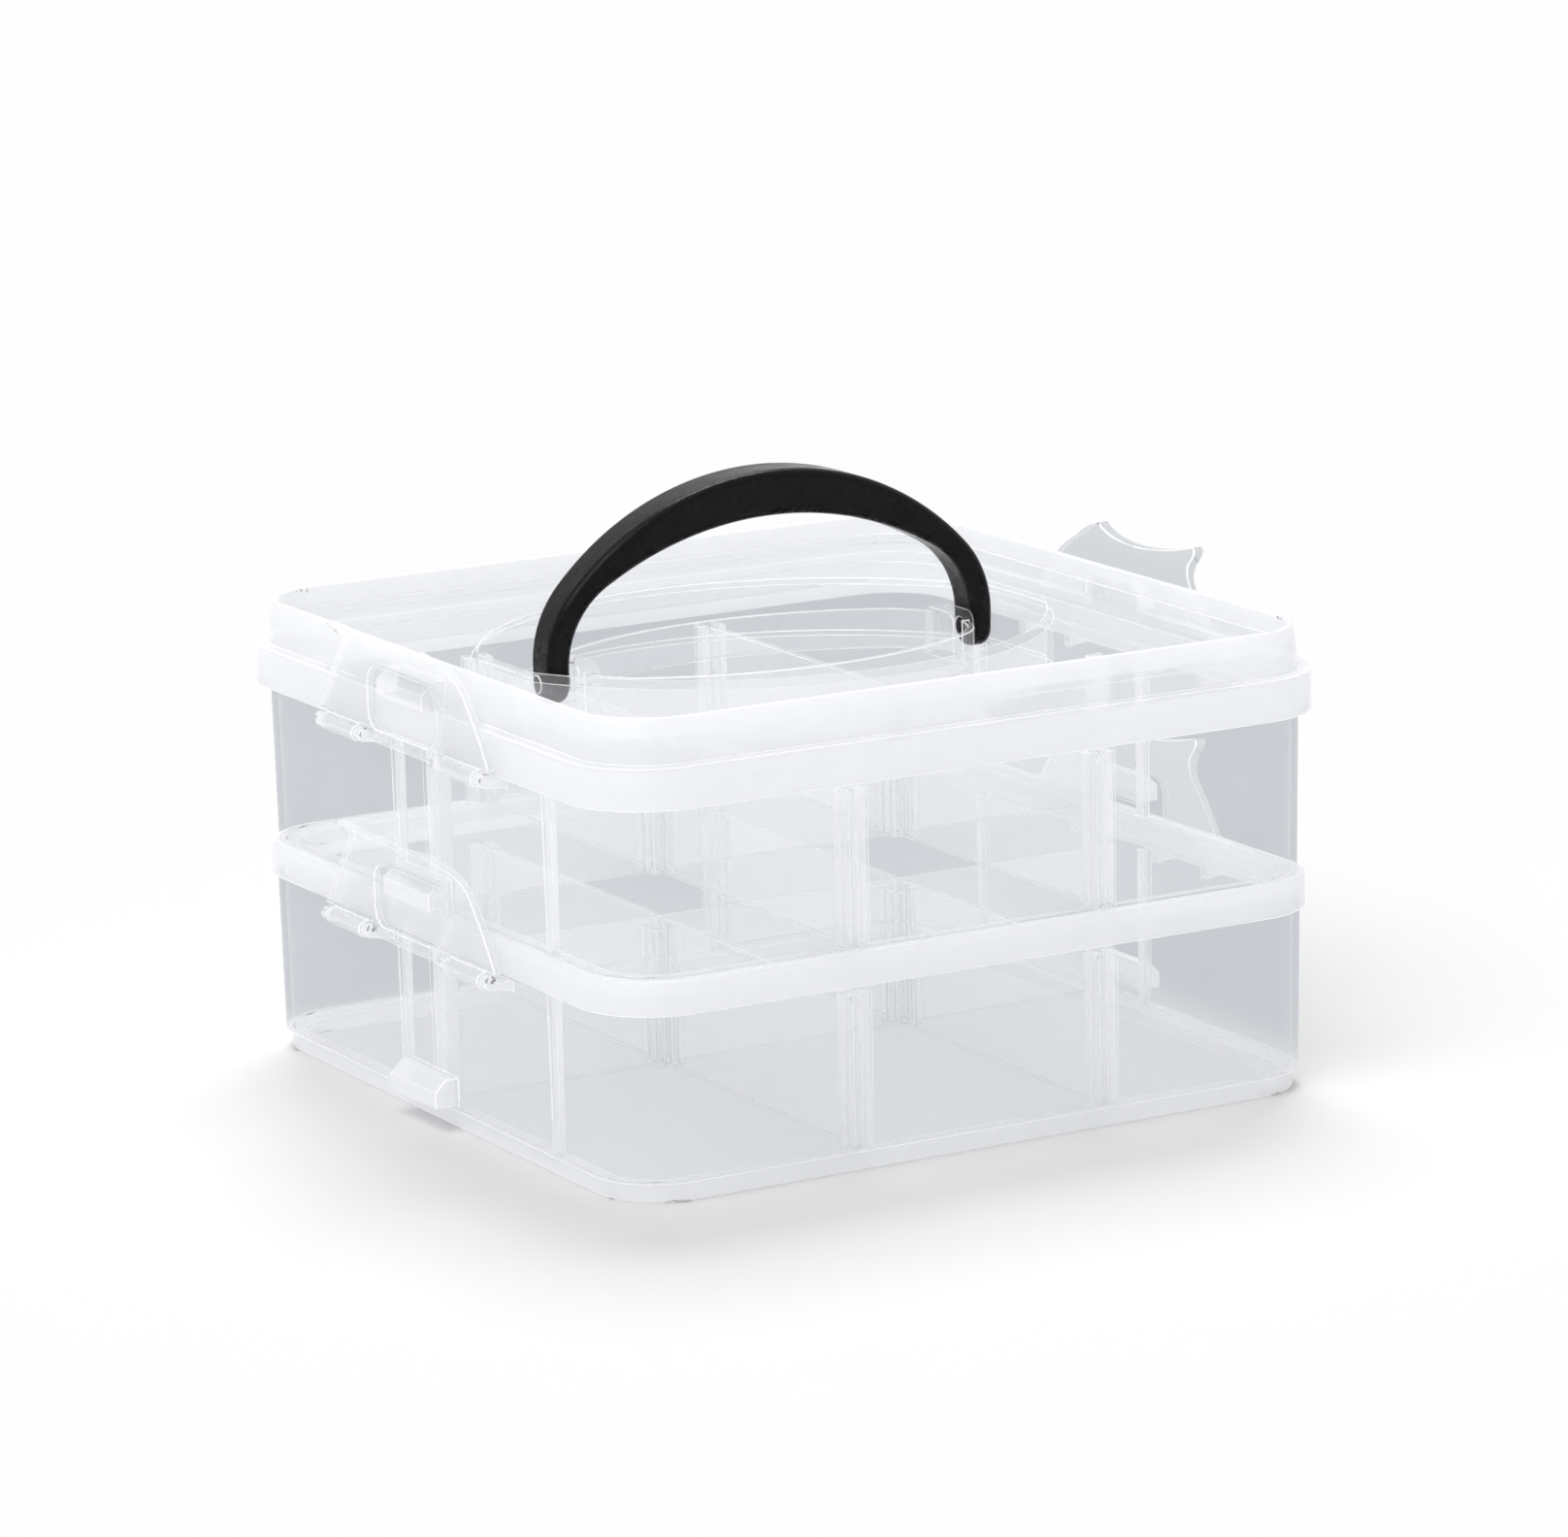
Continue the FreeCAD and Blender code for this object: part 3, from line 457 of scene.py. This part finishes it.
print("material:", edge_plastic.name)

# %% [markdown]
# ## Moulded pieces with soft edges
# Each clear solid is copied, the corners of its triangles are merged, and the Bevel modifier rounds
# what is sharp. Its Harden Normals setting keeps the flat walls flat in the shading. The triangles
# are not joined into large faces: such a face with holes fills badly, and every overlap would show
# in a clear material. The copy takes the place of the solid and rides on its body.

# %% Copy and soften the clear solids
EDGE_WIDTH = 0.22 * MM
SHARP = math.radians(35)
MERGE = 0.002 * MM


def only(piece):
    """Selects one object and nothing else."""
    bpy.ops.object.select_all(action="DESELECT")
    piece.select_set(True)
    bpy.context.view_layer.objects.active = piece


def drop_spikes(piece, solid):
    """Dissolves the few corners that the bevel has pushed out of the box around the solid."""
    corners = [vertex.co for vertex in solid.data.vertices]
    low = [min(corner[axis] for corner in corners) - MERGE for axis in range(3)]
    high = [max(corner[axis] for corner in corners) + MERGE for axis in range(3)]
    bpy.ops.object.mode_set(mode="EDIT")
    bpy.ops.mesh.select_mode(type="VERT")
    bpy.ops.mesh.select_all(action="DESELECT")
    bpy.ops.object.mode_set(mode="OBJECT")
    for vertex in piece.data.vertices:
        vertex.select = any(not low[axis] < vertex.co[axis] < high[axis] for axis in range(3))
    bpy.ops.object.mode_set(mode="EDIT")
    bpy.ops.mesh.dissolve_verts()
    bpy.ops.object.mode_set(mode="OBJECT")


def moulded(node, plastic):
    """A copy of a clear solid with soft bright edges, riding where the solid was."""
    solid = frame["nodes"][node]
    piece = bpy.data.objects.new(node + "_moulded", solid.data.copy())
    scene.collection.objects.link(piece)
    only(piece)
    bpy.ops.mesh.customdata_custom_splitnormals_clear()
    bpy.ops.object.mode_set(mode="EDIT")
    bpy.ops.mesh.select_all(action="SELECT")
    bpy.ops.mesh.remove_doubles(threshold=MERGE)
    bpy.ops.object.mode_set(mode="OBJECT")
    piece.data.materials.clear()
    piece.data.materials.append(plastic)
    piece.data.materials.append(edge_plastic)
    bpy.ops.object.shade_smooth_by_angle(angle=SHARP)
    bevel = piece.modifiers.new("soft edge", "BEVEL")
    bevel.width = EDGE_WIDTH
    bevel.segments = 2
    bevel.limit_method = "ANGLE"
    bevel.angle_limit = SHARP
    bevel.use_clamp_overlap = False
    bevel.harden_normals = True
    bevel.material = 1
    bpy.ops.object.modifier_apply(modifier=bevel.name)
    drop_spikes(piece, solid)
    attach(piece, solid["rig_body"])
    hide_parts(node)
    return piece


for node in sorted(frame["nodes"]):
    if node == "carry_handle":
        continue
    kind = "latch" if "latch" in node else "divider" if "divider" in node else node
    piece = moulded(node, clear[kind])
    print(piece.name, len(piece.data.polygons))

# %% [markdown]
# ## Black handle
# The handle is one black moulding, which looks nearly black even under the white sky. So its shine
# is set low on the shader, and the haze group breaks it up with a fine grain and uneven roughness.
# The solid is already the right shape, so it only gets a new material.

# %% Black handle
HANDLE_BLACK = (0.004, 0.004, 0.0045, 1.0)
HANDLE_SHINE = 0.1
HANDLE_ROUGHNESS = 0.22
HANDLE_UNEVEN = 0.14
HANDLE_GRAIN = 0.08

black_plastic, tree, output = new_material("black_handle_plastic")
skin = add_node(tree, "ShaderNodeGroup", "ripples and haze", node_tree=ripples)
rough = calculate(tree, "MULTIPLY", skin.outputs["Haze"], HANDLE_UNEVEN)
bump = add_node(tree, "ShaderNodeBump", "fine grain",
                {"Strength": HANDLE_GRAIN, "Distance": MM, "Height": skin.outputs["Haze"]})
gloss = add_node(tree, "ShaderNodeBsdfPrincipled", "black gloss",
                 {"Base Color": HANDLE_BLACK, "Specular IOR Level": HANDLE_SHINE,
                  "Roughness": calculate(tree, "ADD", rough, HANDLE_ROUGHNESS),
                  "Normal": bump.outputs["Normal"]})
tree.links.new(gloss.outputs[0], output.inputs["Surface"])
handle = frame["nodes"]["carry_handle"]
handle.data.materials.clear()
handle.data.materials.append(black_plastic)
print("material:", black_plastic.name)
